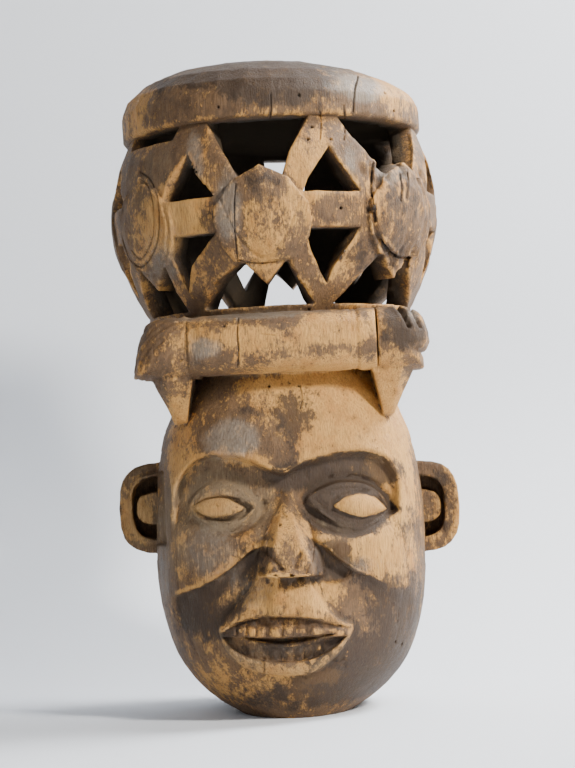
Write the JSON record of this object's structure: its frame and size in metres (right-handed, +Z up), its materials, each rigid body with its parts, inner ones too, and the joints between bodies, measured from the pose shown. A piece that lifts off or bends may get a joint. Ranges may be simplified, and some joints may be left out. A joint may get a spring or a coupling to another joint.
{
  "type": "helmet mask",
  "caption": "Carved wooden helmet mask: a hollow head with a face and ears under a two-headed animal and an openwork turtle crown with a domed cap.",
  "frame": {"origin": "centre of the bounding box at its foot, on the surface that the mask stands on", "axes": "+Z up to the cap, -Y out of the face, +X to the left of the carved face, so to the right of someone who looks at it"},
  "size_m": [0.306, 0.3174, 0.5825],
  "materials": {
    "weathered_wood": "hand-carved, dark patina worn through to tan wood, dusty in the recesses"
  },
  "bodies": {
    "root": {"helmet_mask": "weathered_wood"}
  },
  "joints": []
}
